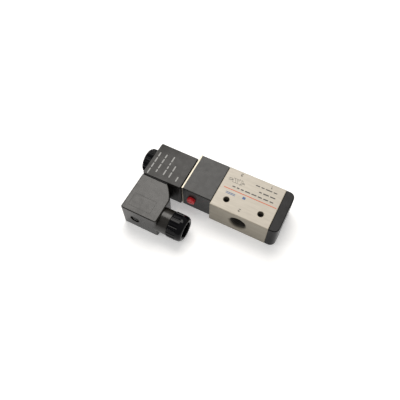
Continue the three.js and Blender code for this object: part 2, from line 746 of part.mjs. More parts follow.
// The cable gland: its frame is on the gland axis, at the end of the housing's threaded neck.
const gland = group(plug, overhang + neckEnd, glandY, 0);
const cableRadius = 3.6;
const nutStart = -neckEnd + neckLength + 0.3;
const nutEnd = nutStart + glandNutLength;
const nutWall = 1.1; // from the neck's end to the nut's inner shoulder

function glandNut() {
  const outline = new THREE.Shape();
  const ribs = 20;
  for (let i = 0; i < ribs; i++) {
    for (const [part, depth] of [[0, 0], [0.55, 0], [0.7, 0.45], [0.85, 0.45]]) {
      const angle = (2 * Math.PI * (i + part)) / ribs;
      const radius = glandNutRadius - depth;
      const point = [radius * Math.cos(angle), radius * Math.sin(angle)];
      if (i || part) outline.lineTo(...point);
      else outline.moveTo(...point);
    }
  }
  outline.closePath();
  const grip = slab(outline, nutStart, nutStart + 7).rotate([0, 90, 0]);
  const dome = turnedX([
    [nutStart + 7, 0], [nutStart + 7, glandNutRadius], [nutEnd - 1.8, glandNutRadius - 0.2],
    [nutEnd - 0.5, glandNutRadius - 1.1], [nutEnd, glandNutRadius - 2], [nutEnd, 0],
  ], fine);
  const thread = rodX(nutStart - 1, nutWall, 7.85);
  const mouth = turnedX([
    [nutWall - 1, 0], [nutWall - 1, 6.2], [nutEnd - 0.8, 6.2], [nutEnd, 7], [nutEnd + 1, 7],
    [nutEnd + 1, 0],
  ], fine);
  return cut(join(grip, dome), thread, mouth);
}

add(gland, "gland_nut", glandNut(), plugNylon);
add(gland, "gland_washer", turnedX(ring(0.15, 0.95, 4.2, 7.3)), steel);
add(gland, "gland_grommet", turnedX(ring(-9, 0.05, cableRadius, neckBore - 0.15)), rubber);

export default valve;
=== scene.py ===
"""A pilot-operated solenoid directional valve, lying on its side with the label up.

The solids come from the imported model. This script gives them rounded edges and finishes, and adds
what solids can't carry: threads, wound springs, printing and moulded detail. Metres, +Z up.
"""
import json
import math
import random

import bmesh
import bpy
from mathutils import Matrix, Vector


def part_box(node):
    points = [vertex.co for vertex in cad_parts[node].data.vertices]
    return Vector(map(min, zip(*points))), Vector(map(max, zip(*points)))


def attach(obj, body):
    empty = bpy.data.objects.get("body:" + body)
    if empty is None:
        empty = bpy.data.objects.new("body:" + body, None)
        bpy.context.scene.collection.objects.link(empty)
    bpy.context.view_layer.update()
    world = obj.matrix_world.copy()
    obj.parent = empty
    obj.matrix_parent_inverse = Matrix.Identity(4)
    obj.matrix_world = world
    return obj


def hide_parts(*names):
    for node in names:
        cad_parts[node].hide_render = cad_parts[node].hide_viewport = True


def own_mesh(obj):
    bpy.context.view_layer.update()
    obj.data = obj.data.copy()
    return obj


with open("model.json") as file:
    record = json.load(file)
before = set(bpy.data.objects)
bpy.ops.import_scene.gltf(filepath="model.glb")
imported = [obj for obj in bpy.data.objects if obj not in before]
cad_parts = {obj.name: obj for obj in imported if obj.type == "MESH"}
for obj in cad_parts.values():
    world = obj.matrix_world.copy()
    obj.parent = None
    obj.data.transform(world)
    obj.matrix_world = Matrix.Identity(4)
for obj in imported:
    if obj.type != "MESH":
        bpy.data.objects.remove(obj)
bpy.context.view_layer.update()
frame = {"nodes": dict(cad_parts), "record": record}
nodes = frame["nodes"]
MM = 0.001
TAU = 2 * math.pi
SHARP_EDGE = math.radians(32)  # edges that bend more than this are rounded


# ---- Places taken from the solids ----

def box_of(node):
    """The low and the high corner of a solid's box."""
    return [Vector(corner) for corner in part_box(node)]


def middle(node):
    low, high = box_of(node)
    return (low + high) / 2


body_low, body_high = box_of("valve_body")
coil_low, coil_high = box_of("coil_case")
plug_low, plug_high = box_of("plug_housing")
spool_axis = middle("spool")
tube_axis = middle("armature_tube")
openings = {o["name"]: o["box_m"] for o in frame["record"]["physics"]["openings"]}
supply_x = (openings["supply_port"][0][0] + openings["supply_port"][1][0]) / 2
hole_x = 13.1 * MM  # mounting holes at plus and minus this
label_hole = 2.5 * MM  # radius of the label's openings over them
port_radius = 6.5 * MM
bores_reach = 7.6 * MM  # the ports and the spool's bore lie within this of the spool axis
bores_low = Vector((body_low.x, body_low.y, spool_axis.z - bores_reach))
bores_high = Vector((body_high.x, body_high.y, spool_axis.z + bores_reach))
sheet_base = body_high.z + 0.005 * MM
sheet_top = body_high.z + 0.10 * MM
ink = 0.02 * MM  # thickness of a print


# ---- Materials ----

class Look:
    """A procedural material on a Principled shader, with helpers that add nodes to it."""

    def __init__(self, name, color, roughness=0.5, metallic=0.0, **sockets):
        self.material = bpy.data.materials.new(name)
        self.material.use_nodes = True
        self.tree = self.material.node_tree
        self.shader = self.tree.nodes["Principled BSDF"]
        self.shader.inputs["Base Color"].default_value = (*color, 1)
        self.shader.inputs["Roughness"].default_value = roughness
        self.shader.inputs["Metallic"].default_value = metallic
        for socket, value in sockets.items():
            self.shader.inputs[socket.replace("_", " ")].default_value = value
        self.color = color
        self.roughness = roughness
        self.height = None

    def add(self, kind, **settings):
        """A new node, with its sockets and its own properties set by name."""
        node = self.tree.nodes.new(kind)
        for key, value in settings.items():
            if key in node.inputs:
                node.inputs[key].default_value = value
            else:
                setattr(node, key, value)
        return node

    def link(self, source, target):
        self.tree.links.new(source, target)

    def place(self, scale=(1, 1, 1)):
        """Object coordinates, stretched: a small scale along an axis draws streaks along it."""
        coordinates = self.add("ShaderNodeTexCoord")
        mapping = self.add("ShaderNodeMapping", Scale=scale)
        self.link(coordinates.outputs["Object"], mapping.inputs["Vector"])
        return mapping.outputs["Vector"]

    def noise(self, scale, detail=3.0, stretch=(1, 1, 1)):
        node = self.add("ShaderNodeTexNoise", Scale=scale, Detail=detail)
        self.link(self.place(stretch), node.inputs["Vector"])
        return node.outputs["Fac"]

    def fit(self, source, low, high, from_low=0.3, from_high=0.7):
        """The source's stretch between from_low and from_high, spread over low to high."""
        node = self.add("ShaderNodeMapRange")
        for socket, value in zip(node.inputs[1:5], (from_low, from_high, low, high)):
            socket.default_value = value
        self.link(source, node.inputs["Value"])
        return node.outputs["Result"]

    def tint(self, source, shades, from_low=0.3, from_high=0.7):
        """The base colour runs between two shades of itself."""
        ramp = self.add("ShaderNodeValToRGB")
        ends = ramp.color_ramp.elements
        for end, shade, at in zip(ends, shades, (from_low, from_high)):
            end.position = at
            end.color = (*(c * shade for c in self.color), 1)
        self.link(source, ramp.inputs["Fac"])
        self.link(ramp.outputs["Color"], self.shader.inputs["Base Color"])
        return ramp

    def shade_inside(self, color, low, high, shade=0.16):
        """Darkens what lies inside a box, such as bores that light hardly reaches."""
        centre = (Vector(low) + Vector(high)) / 2
        size = Vector(high) - Vector(low)
        coordinates = self.add("ShaderNodeTexCoord")
        shift = self.add("ShaderNodeVectorMath", operation="SUBTRACT")
        shift.inputs[1].default_value = centre
        scale = self.add("ShaderNodeVectorMath", operation="DIVIDE")
        scale.inputs[1].default_value = size / 2
        spread = self.add("ShaderNodeVectorMath", operation="ABSOLUTE")
        parts = self.add("ShaderNodeSeparateXYZ")
        self.link(coordinates.outputs["Object"], shift.inputs[0])
        self.link(shift.outputs[0], scale.inputs[0])
        self.link(scale.outputs[0], spread.inputs[0])
        self.link(spread.outputs[0], parts.inputs[0])
        farthest = self.add("ShaderNodeMath", operation="MAXIMUM")
        self.link(parts.outputs["X"], farthest.inputs[0])
        self.link(parts.outputs["Y"], farthest.inputs[1])
        last = self.add("ShaderNodeMath", operation="MAXIMUM")
        self.link(farthest.outputs[0], last.inputs[0])
        self.link(parts.outputs["Z"], last.inputs[1])
        full_within = 0.86  # the share of the box, about its centre, that has the full shade
        amount = self.fit(last.outputs[0], shade, 1.0, full_within, 1.0)
        mix = self.add("ShaderNodeVectorMath", operation="SCALE")
        self.link(color, mix.inputs[0])
        self.link(amount, mix.inputs["Scale"])
        self.link(mix.outputs[0], self.shader.inputs["Base Color"])

    def vary_roughness(self, source, spread):
        result = self.fit(source, self.roughness - spread, self.roughness + spread)
        self.link(result, self.shader.inputs["Roughness"])

    def bump(self, source, depth, strength=1.0):
        """Raises the surface by up to depth metres; later calls add to earlier ones."""
        node = self.add("ShaderNodeBump", Distance=depth, Strength=strength)
        self.link(source, node.inputs["Height"])
        if self.height:
            self.link(self.height, node.inputs["Normal"])
        self.height = node.outputs["Normal"]
        self.link(self.height, self.shader.inputs["Normal"])


def moulded(name, color, roughness, grain=0.008 * MM, dust=1.12, **sockets):
    """Moulded plastic: a fine spark-eroded grain, slow waviness, and faint handling marks."""
    look = Look(name, color, roughness, **sockets)
    look.tint(look.noise(300, 6), (1.0, dust))
    look.vary_roughness(look.noise(260, 4), 0.05)
    look.bump(look.noise(9000, 2), grain)
    look.bump(look.noise(120, 2), 0.03 * MM, 0.5)
    return look.material


def drawn(name, color, roughness, stretch, metallic=1.0, depth=0.004 * MM, inside=None,
          **sockets):
    """Metal with fine lines along one axis. Where a box is given, it is darker inside the box, as
    painted shade.
    """
    look = Look(name, color, roughness, metallic, **sockets)
    ramp = look.tint(look.noise(900, 3, stretch), (0.93, 1.05))
    if inside:
        look.shade_inside(ramp.outputs["Color"], *inside)
    look.vary_roughness(look.noise(2600, 4, stretch), 0.06)
    look.bump(look.noise(5200, 3, stretch), depth)
    return look.material


def rubbery(name, color):
    """Matt black rubber, a little greyed by handling."""
    look = Look(name, color, 0.78, Specular_IOR_Level=0.35)
    look.tint(look.noise(700, 4), (0.9, 1.5))
    look.bump(look.noise(5200, 3), 0.02 * MM)
    return look.material


def coarse(name, color, roughness, metallic):
    """Cast or sawn surface with small pits."""
    look = Look(name, color, roughness, metallic)
    look.tint(look.noise(500, 4), (0.9, 1.08))
    look.bump(look.noise(2400, 4), 0.015 * MM)
    return look.material


def wound_copper():
    """Enamelled wire, laid in turns along X, with painted shade in the grooves between the turns.
    """
    look = Look("wound_copper", (0.46, 0.16, 0.06), 0.32, 1.0)
    turns = look.add("ShaderNodeTexWave", Scale=110.0, bands_direction="X", Distortion=0.4)
    look.link(look.place(), turns.inputs["Vector"])
    # The bands that cut the bump's grooves also darken them: painted shade between the turns.
    look.tint(turns.outputs["Fac"], (0.5, 1.15), 0.1, 0.8)
    look.bump(turns.outputs["Fac"], 0.12 * MM)
    return look.material


def printed(name, color):
    """Ink, a little uneven where it took less well."""
    look = Look(name, color, 0.55)
    look.tint(look.noise(1500, 3), (0.82, 1.12))
    look.bump(look.noise(4000, 2), 0.004 * MM)
    return look.material


finishes = {
    # The anodising is darkened in the ports and the spool's bore: painted shade.
    "anodised": drawn("champagne_anodising", (0.29, 0.262, 0.212), 0.46, (0.06, 1, 1), 0.55,
                      inside=(bores_low, bores_high)),
    "foil": drawn("printed_foil", (0.46, 0.42, 0.355), 0.5, (0.08, 1, 1), 0.15),
    "nylon": moulded("black_nylon", (0.009, 0.009, 0.0085), 0.30, Specular_IOR_Level=0.30),
    "cap": moulded("cap_nylon", (0.004, 0.004, 0.0045), 0.20, 0.004 * MM,
                   Specular_IOR_Level=0.11),
    "resin": moulded("coil_resin", (0.009, 0.008, 0.007), 0.32, 0.012 * MM,
                     Specular_IOR_Level=0.26),
    "glossy": moulded("glossy_nylon", (0.002, 0.002, 0.003), 0.12, 0.002 * MM,
                      Specular_IOR_Level=0.15),
    "housing": moulded("connector_nylon", (0.011, 0.0095, 0.0075), 0.27, 0.004 * MM,
                       Specular_IOR_Level=0.42),
    "red": moulded("red_acetal", (0.66, 0.026, 0.034), 0.28, 0.004 * MM, 1.15),
    "rubber": rubbery("rubber", (0.012, 0.012, 0.012)),
    "plate": drawn("zinc_plate", (0.36, 0.335, 0.275), 0.44, (1, 0.07, 1)),
    "knob": moulded("knob_nylon", (0.003, 0.003, 0.004), 0.26, 0.004 * MM,
                    Specular_IOR_Level=0.07),
    "blackened": drawn("blackened_steel", (0.035, 0.034, 0.033), 0.34, (1, 1, 0.1)),
    "steel": drawn("turned_steel", (0.60, 0.59, 0.57), 0.26, (1, 1, 0.1)),
    "spring": drawn("spring_wire", (0.55, 0.55, 0.56), 0.22, (1, 1, 1)),
    "brass": drawn("turned_brass", (0.70, 0.50, 0.20), 0.24, (1, 0.2, 1)),
    "alloy": coarse("turned_alloy", (0.66, 0.66, 0.66), 0.3, 1.0),
    "natural": moulded("natural_acetal", (0.78, 0.74, 0.66), 0.42, 0.006 * MM, 0.95),
    "copper": wound_copper(),
    "black_ink": printed("black_ink", (0.055, 0.051, 0.046)),
    "white_ink": printed("white_ink", (0.33, 0.33, 0.32)),
    "blue_ink": printed("blue_ink", (0.055, 0.12, 0.27)),
    "orange_ink": printed("orange_ink", (0.62, 0.11, 0.03)),
}


# ---- Rounded edges on the solids ----

def geometry_group(name):
    """An empty group of geometry nodes, with a mesh going in and a mesh coming out."""
    group = bpy.data.node_groups.new(name, "GeometryNodeTree")
    for way in ("INPUT", "OUTPUT"):
        group.interface.new_socket("Geometry", in_out=way, socket_type="NodeSocketGeometry")
    return group


def smooth_group(degrees):
    """Geometry nodes that shade smooth, except across edges sharper than the angle."""
    group = geometry_group("smooth_by_angle")
    start = group.nodes.new("NodeGroupInput")
    end = group.nodes.new("NodeGroupOutput")
    faces = group.nodes.new("GeometryNodeSetShadeSmooth")
    edges = group.nodes.new("GeometryNodeSetShadeSmooth")
    edges.domain = "EDGE"
    bend = group.nodes.new("GeometryNodeInputMeshEdgeAngle")
    gentle = group.nodes.new("FunctionNodeCompare")
    gentle.operation = "LESS_THAN"
    gentle.inputs["B"].default_value = math.radians(degrees)
    link = group.links.new
    link(start.outputs[0], faces.inputs["Geometry"])
    link(faces.outputs[0], edges.inputs["Geometry"])
    link(bend.outputs["Unsigned Angle"], gentle.inputs["A"])
    link(gentle.outputs["Result"], edges.inputs["Shade Smooth"])
    link(edges.outputs[0], end.inputs[0])
    return group


def outer_edge_group(name, faces=1, only_along_x=False):
    """Geometry nodes that mark, for rounding, the sharp edges that lie on a solid's outer faces.

    With two faces, an edge has to lie on two of them at once, which leaves out holes' rims.
    """
    group = geometry_group(name)
    link = group.links.new
    touching = 0.02 * MM
    long_reach = 10 * MM

    def node(kind, **settings):
        made = group.nodes.new(kind)
        for key, value in settings.items():
            setattr(made, key, value)
        return made

    def combine(operation, a, b, kind="ShaderNodeMath"):
        made = node(kind, operation=operation)
        for socket, value in zip(made.inputs, (a, b)):
            if isinstance(value, float):
                socket.default_value = value
            else:
                link(value, socket)
        return made.outputs[0]

    def split(vector):
        parts = node("ShaderNodeSeparateXYZ")
        link(vector, parts.inputs[0])
        return parts.outputs

    vectors = "ShaderNodeVectorMath"
    start = node("NodeGroupInput").outputs[0]
    box = node("GeometryNodeBoundBox")
    link(start, box.inputs["Geometry"])
    place = node("GeometryNodeInputPosition").outputs[0]
    to_low = combine("SUBTRACT", place, box.outputs["Min"], vectors)
    to_high = combine("SUBTRACT", box.outputs["Max"], place, vectors)
    x, y, z = split(combine("MINIMUM", to_low, to_high, vectors))
    lesser, greater = combine("MINIMUM", x, y), combine("MAXIMUM", x, y)
    nearest = combine("MINIMUM", lesser, z)
    second = combine("MINIMUM", greater, combine("MAXIMUM", lesser, z))
    bend = node("GeometryNodeInputMeshEdgeAngle").outputs["Unsigned Angle"]
    on_face = combine("LESS_THAN", second if faces == 2 else nearest, touching)
    chosen = combine("MULTIPLY", on_face, combine("GREATER_THAN", bend, SHARP_EDGE))
    if only_along_x:
        ends = node("GeometryNodeInputMeshEdgeVertices")
        step = combine("SUBTRACT", ends.outputs["Position 1"], ends.outputs["Position 2"], vectors)
        reach = combine("ABSOLUTE", split(step)["X"], 0.0)
        chosen = combine("MULTIPLY", chosen, combine("GREATER_THAN", reach, long_reach))
    store = node("GeometryNodeStoreNamedAttribute", domain="EDGE", data_type="FLOAT")
    link(start, store.inputs["Geometry"])
    store.inputs["Name"].default_value = "bevel_weight_edge"
    link(chosen, store.inputs["Value"])
    link(store.outputs[0], node("NodeGroupOutput").inputs[0])
    return group


soft_edges = smooth_group(33)
edge_markers = {
    "outer": outer_edge_group("mark_outer_edges"),
    "long": outer_edge_group("mark_long_edges", only_along_x=True),
    "corner": outer_edge_group("mark_corner_edges", faces=2),
}


def round_edges(obj, width, edges):
    """Rounds the edges of a solid. Edges is "all", or one of the markers' names."""
    weld = obj.modifiers.new("weld", "WELD")
    weld.merge_threshold = 1e-6
    flatten = obj.modifiers.new("flatten", "DECIMATE")
    flatten.decimate_type = "DISSOLVE"
    flatten.angle_limit = math.radians(0.6)
    if edges in edge_markers:
        mark = obj.modifiers.new("mark", "NODES")
        mark.node_group = edge_markers[edges]
    bevel = obj.modifiers.new("round", "BEVEL")
    bevel.width = width
    bevel.segments = 3
    bevel.limit_method = "ANGLE" if edges == "all" else "WEIGHT"
    bevel.angle_limit = SHARP_EDGE
    bevel.use_clamp_overlap = edges == "all"
    bevel.loop_slide = False
    bevel.miter_outer = "MITER_ARC"
    shade = obj.modifiers.new("shade", "NODES")
    shade.node_group = soft_edges
    even = obj.modifiers.new("even", "WEIGHTED_NORMAL")
    even.keep_sharp = True


def paint(obj, finish):
    obj.data.materials.clear()
    obj.data.materials.append(finishes[finish])


def dress(finish, width, *names, edges="all"):
    """Gives solids their finish, and a radius on the edges that are named."""
    for name in names:
        obj = nodes[name]
        for material_slot in obj.material_slots:
            material_slot.material = finishes[finish]
        round_edges(obj, width, edges)


dress("anodised", 0.3 * MM, "valve_body", edges="outer")
dress("nylon", 0.6 * MM, "pilot_body", edges="long")
dress("cap", 0.6 * MM, "end_cap", edges="outer")
dress("knob", 0.3 * MM, "coil_nut", edges="outer")
dress("resin", 0.8 * MM, "coil_case", edges="corner")
dress("housing", 0.8 * MM, "plug_housing", edges="outer")
dress("glossy", 0.3 * MM, "gland_nut", edges="outer")
dress("red", 0.25 * MM, "override_button")
dress("plate", 0.12 * MM, "tube_plate", edges="outer")
dress("steel", 0.15 * MM, "plunger", "fixed_core", "spring_seat", "gland_washer", "coil_yoke",
      "end_cap_screw_1", "end_cap_screw_2", "pilot_screw_1", "pilot_screw_2", "plate_screw_1",
      "plate_screw_2")
dress("blackened", 0.15 * MM, "plug_screw")
dress("brass", 0.1 * MM, "pilot_nozzle", "armature_tube", "nut_insert", "coil_blade_1",
      "coil_blade_2", "ground_blade", "plug_contact_1", "plug_contact_2", "plug_contact_3")
dress("rubber", 0.15 * MM, "coil_seal", "pilot_gasket", "plug_gasket", "gland_grommet",
      "plunger_seal", "end_cap_seal", "piston_seal", "override_seal", "tube_seal", "nut_seal",
      *("spool_seal_%d" % n for n in (1, 2, 3, 4)))
dress("alloy", 0.1 * MM, "spool")
dress("natural", 0.2 * MM, "pilot_piston", "coil_bobbin", "plug_insert")
dress("copper", 0.3 * MM, "coil_winding")


# ---- Pieces made here ----

def mesh_piece(name, vertices, faces, finish, body, smooth=False):
    """A new piece with its finish, on the body it rides on."""
    mesh = bpy.data.meshes.new(name)
    mesh.from_pydata([tuple(v) for v in vertices], [], faces)
    mesh.validate()
    bm = bmesh.new()
    bm.from_mesh(mesh)
    bmesh.ops.recalc_face_normals(bm, faces=bm.faces)
    bm.to_mesh(mesh)
    bm.free()
    if smooth:
        mesh.polygons.foreach_set("use_smooth", [True] * len(mesh.polygons))
    obj = bpy.data.objects.new(name, mesh)
    bpy.context.scene.collection.objects.link(obj)
    paint(obj, finish)
    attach(obj, body)
    return obj


def frame_on(axis, origin):
    """The matrix from a frame whose Z runs along axis to the model's frame."""
    turn = Vector(axis).to_track_quat("Z", "Y").to_matrix().to_4x4()
    return Matrix.Translation(origin) @ turn


def on_circle(radius, turn):
    """The two coordinates of a point on a circle, after a share of a full turn."""
    return radius * math.cos(TAU * turn), radius * math.sin(TAU * turn)


def closed_grid(rows):
    """Vertices and faces of rings in a row, where the last ring joins the first one again."""
    count, around = len(rows), len(rows[0])
    vertices = [v for row in rows for v in row]
    faces = []
    for i in range(count):
        for j in range(around):
            a = i * around + j
            b = i * around + (j + 1) % around
            c = ((i + 1) % count) * around + (j + 1) % around
            d = ((i + 1) % count) * around + j
            faces.append((a, b, c, d))
    return vertices, faces


def port_thread(name, x, side, length=8.6 * MM, pitch=1.337 * MM, deep=0.62 * MM):
    """The thread of a port, fading out at its mouth, on a thin wall against the bore."""
    face = body_low.y if side < 0 else body_high.y
    place = frame_on((0, side, 0), Vector((x, face, spool_axis.z)))
    around = 64
    per_pitch = 6
    first = 0.55 * MM  # depth of the first ring, past the mouth's chamfer
    fade_from, fade_over = 0.3 * MM, 1.1 * MM
    proud = 0.1  # the share of the thread's depth that its root stands off the wall
    steps = int(length / pitch * per_pitch)
    rows = []
    for i in range(steps + 1):
        depth = first + (length - first) * i / steps
        fade = min(1, (depth - fade_from) / fade_over)
        row = []
        for j in range(around):
            crest = 0.5 - 0.5 * math.cos(TAU * (depth / pitch + j / around))
            radius = port_radius - deep * fade * (proud + (1 - proud) * crest)
            row.append(place @ Vector((*on_circle(radius, j / around), -depth)))
        rows.append(row)
    for depth in (length, first):
        rows.append([place @ Vector((*on_circle(port_radius, j / around), -depth))
                     for j in range(around)])
    vertices, faces = closed_grid(rows)
    mesh_piece(name, vertices, faces, "anodised", "valve_block", True)


def outer_thread(name, centre, start, end, root, crest, pitch, finish, body):
    """A thread that stands on a plain cylinder along X, on a thin wall sunk into it."""
    around = 56
    per_pitch = 6
    steps = int(abs(end - start) / pitch * per_pitch)

    def place(x, radius, turn):
        y, z = on_circle(radius, turn)
        return x, centre.y + y, centre.z + z

    rows = []
    for i in range(steps + 1):
        x = start + (end - start) * i / steps
        fade = min(1, i / per_pitch, (steps - i) / per_pitch)
        row = []
        for j in range(around):
            wave = 0.5 - 0.5 * math.cos(TAU * ((x - start) / pitch + j / around))
            row.append(place(x, root + (crest - root) * wave * fade, j / around))
        rows.append(row)
    sunk = root - 0.3 * MM
    for x in (end, start):
        rows.append([place(x, sunk, j / around) for j in range(around)])
    vertices, faces = closed_grid(rows)
    mesh_piece(name, vertices, faces, finish, body, True)


def wound_spring(name, node, body, axis, radius, wire, turns, anchor_at_high):
    """A wound spring with closed ground ends."""
    low, high = box_of(node)
    along = {"x": 0, "y": 1}[axis]
    start, end = low[along] + wire, high[along] - wire
    centre = (low + high) / 2
    others = [i for i in range(3) if i != along]
    per_turn = 28
    steps = int(turns * per_turn)
    around = 10
    dead = 0.75 / turns  # the closed turn at each end, as a share of the whole
    flat = 0.12  # the share of the length that each closed end takes

    def rise(t):
        """How far along the spring its wire has come at t, which runs from 0 to 1."""
        if t < dead:
            return flat * t / dead
        if t > 1 - dead:
            return 1 - flat * (1 - t) / dead
        return flat + (1 - 2 * flat) * (t - dead) / (1 - 2 * dead)

    def point(t):
        """The middle of the wire at t."""
        place = centre.copy()
        place[along] = start + (end - start) * rise(t)
        for i, offset in zip(others, on_circle(radius, turns * t)):
            place[i] += offset
        return place

    small = 0.002  # how far to both sides of t the wire's direction is taken
    rows = []
    for i in range(steps + 1):
        t = i / steps
        here = point(t)
        tangent = (point(min(1, t + small)) - point(max(0, t - small))).normalized()
        on_axis = centre.copy()
        on_axis[along] = here[along]
        out = (here - on_axis).normalized()
        up = tangent.cross(out).normalized()
        rows.append([here + wire * (math.cos(TAU * j / around) * out
                                    + math.sin(TAU * j / around) * up)
                     for j in range(around)])
    vertices = [v for row in rows for v in row]
    faces = [(i * around + j, i * around + (j + 1) % around,
              (i + 1) * around + (j + 1) % around, (i + 1) * around + j)
             for i in range(steps) for j in range(around)]
    faces.append(tuple(range(around)))
    faces.append(tuple(range(steps * around, (steps + 1) * around)))
    spring = mesh_piece(name, vertices, faces, "spring", body, True)
    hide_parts(node)
    anchor = centre.copy()
    anchor[along] = high[along] if anchor_at_high else low[along]
    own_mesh(spring)


wound_spring("wound_return_spring", "return_spring", "valve_block", "x", 3.5 * MM, 0.4 * MM, 5,
             True)
wound_spring("wound_plunger_spring", "plunger_spring", "valve_block", "x", 1.5 * MM, 0.22 * MM, 8,
             False)
wound_spring("wound_override_spring", "override_spring", "valve_block", "y", 1.7 * MM, 0.22 * MM,
             4.5, True)
port_thread("outlet_thread", 0, -1)
port_thread("supply_thread", supply_x, 1)
port_thread("exhaust_thread", -supply_x, 1)

gland_axis = middle("gland_grommet")
outer_thread("neck_thread", gland_axis, plug_high.x - 6.9 * MM, plug_high.x - 0.3 * MM, 7.6 * MM,
             7.71 * MM, 1.5 * MM, "housing", "connector")
stud_end = box_of("fixed_core")[0].x
outer_thread("stud_thread", tube_axis, coil_low.x - 0.3 * MM, stud_end + 0.5 * MM, 3.5 * MM,
             3.62 * MM, 1.0 * MM, "steel", "valve_block")


def connector_panel():
    """The shallow moulded frame on the connector's two wide faces."""
    x0, x1 = plug_low.x + 3.6 * MM, plug_low.x + 21.6 * MM
    y0, y1 = plug_low.y + 4.4 * MM, plug_low.y + 15.0 * MM
    wide, high, sunk = 0.35 * MM, 0.09 * MM, 0.1 * MM
    sides = (("connector_panel_top", plug_high.z, 1), ("connector_panel_base", plug_low.z, -1))
    for name, z, up in sides:
        corners = []
        for inset in (0, wide):
            for x, y in ((x0 + inset, y0 + inset), (x1 - inset, y0 + inset),
                         (x1 - inset, y1 - inset), (x0 + inset, y1 - inset)):
                corners.append((x, y))
        # Four outer and four inner corners at the base, then the same eight at the top.
        vertices = [(x, y, z + up * level) for level in (-sunk, high) for x, y in corners]
        faces = []
        for i in range(4):
            j = (i + 1) % 4
            faces.append((8 + i, 8 + j, 12 + j, 12 + i))
            faces.append((i, 4 + i, 4 + j, j))
            faces.append((i, j, 8 + j, 8 + i))
            faces.append((4 + j, 4 + i, 12 + i, 12 + j))
        piece = mesh_piece(name, vertices, faces, "housing", "connector")
        edge = piece.modifiers.new("round", "BEVEL")
        edge.width = 0.05 * MM
        edge.segments = 2


connector_panel()


# ---- Printing ----

class Print:
    """Ink on an upward face: thin raised shapes, gathered into one piece.

    Places and widths on the face are in millimetres. Only the face's height is in metres.
    """

    def __init__(self, z):
        self.z = z
        self.vertices = []
        self.faces = []

    def polygon(self, corners):
        first = len(self.vertices)
        count = len(corners)
        for height in (self.z, self.z + ink):
            self.vertices += [(x * MM, y * MM, height) for x, y in corners]
        self.faces.append(tuple(range(first + count, first + 2 * count)))
        self.faces.append(tuple(reversed(range(first, first + count))))
        for i in range(count):
            j = (i + 1) % count
            self.faces.append((first + i, first + j, first + count + j, first + count + i))

    def bar(self, a, b, width):
        """A straight stroke from a to b."""
        a, b = Vector(a), Vector(b)
        side = (b - a).orthogonal().normalized() * width / 2
        self.polygon([a - side, b - side, b + side, a + side])

    def pill(self, a, b, width, count=6):
        """A bar from a to b with rounded ends."""
        along = (b - a).normalized()
        across = Vector((-along.y, along.x))
        radius = width / 2
        corners = []
        for centre, sign in ((b - along * radius, 1), (a + along * radius, -1)):
            for k in range(count + 1):
                angle = math.pi * (k / count - 0.5)
                corners.append(centre + sign * radius * (math.cos(angle) * along
                                                         + math.sin(angle) * across))
        self.polygon(corners)

    def path(self, points, width):
        """Straight strokes from point to point, each run on past its ends so that they join."""
        for a, b in zip(points, points[1:]):
            direction = (Vector(b) - Vector(a)).normalized() * width / 2
            self.bar(Vector(a) - direction, Vector(b) + direction, width)

    def finish(self, name, finish_name, body, slot):
        return mesh_piece(name, self.vertices, self.faces, finish_name, body)


def line_of_blocks(target, start, direction, length, seed, width=0.95):
    """Plain rounded blocks of mixed length, where a real label has a line of text."""
    dice = random.Random(seed)
    along = Vector(direction).normalized()
    start = Vector(start)
    gap = 0.9
    at = 0.0
    while at < length - 2 * width:
        block = min(dice.uniform(2.2, 5.2), length - at)
        target.pill(start + along * at, start + along * (at + block), width)
        at += block + gap


def filled(loops):
    """Triangles that fill the first loop and leave the others open, always in the same order."""
    bm = bmesh.new()
    edges = []
    for loop in loops:
        corners = [bm.verts.new((x, y, 0)) for x, y in loop]
        edges += [bm.edges.new(pair) for pair in zip(corners, corners[1:] + corners[:1])]
    bm.verts.index_update()
    bmesh.ops.triangle_fill(bm, edges=edges, use_beauty=True)
    triangles = sorted(tuple(sorted(v.index for v in f.verts)) for f in bm.faces)
    bm.free()
    return triangles


def label_loops(low, high):
    """The label's outline with its rounded corners, and its openings over the mounting holes."""
    corner = 0.8 * MM
    per_corner = 6
    around = 48
    left, right = low.x + corner, high.x - corner
    near, far = low.y + corner, high.y - corner
    outline = []
    for quarter, (x, y) in enumerate(((right, far), (left, far), (left, near), (right, near))):
        for k in range(per_corner + 1):
            across, up = on_circle(corner, (quarter + k / per_corner) / 4)
            outline.append((x + across, y + up))
    loops = [outline]
    for x in (-hole_x, hole_x):
        hole = [on_circle(label_hole, -k / around) for k in range(around)]
        loops.append([(x + across, up) for across, up in hole])
    return loops


def label_sheet():
    """The foil label: a thin sheet with rounded corners, open over the mounting holes."""
    loops = label_loops(*box_of("body_label"))
    points = [point for loop in loops for point in loop]
    count = len(points)
    vertices = [(x, y, z) for z in (sheet_base, sheet_top) for x, y in points]
    triangles = filled(loops)
    faces = [tuple(level + i for i in face) for level in (0, count) for face in triangles]
    first = 0
    for loop in loops:
        for i in range(len(loop)):
            a = first + i
            b = first + (i + 1) % len(loop)
            faces.append((a, b, count + b, count + a))
        first += len(loop)
    sheet = mesh_piece("foil_label", vertices, faces, "foil", "valve_block")
    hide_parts("body_label")


def port_number(target, digit, at, size):
    """A port's number in strokes, read from the far side: its top points along -Y."""
    strokes = {
        1: [(0.08, 0.76), (0.38, 1), (0.38, 0)],
        2: [(0.02, 0.78), (0.14, 0.95), (0.34, 1), (0.54, 0.92), (0.6, 0.74), (0.5, 0.54), (0, 0),
            (0.64, 0)],
        3: [(0.04, 0.86), (0.2, 1), (0.44, 1), (0.6, 0.84), (0.56, 0.64), (0.3, 0.54),
            (0.58, 0.42), (0.62, 0.18), (0.44, 0), (0.18, 0), (0, 0.14)],
    }[digit]
    target.path([(at[0] - (x - 0.35) * size, at[1] - (y - 0.5) * size) for x, y in strokes], 0.34)


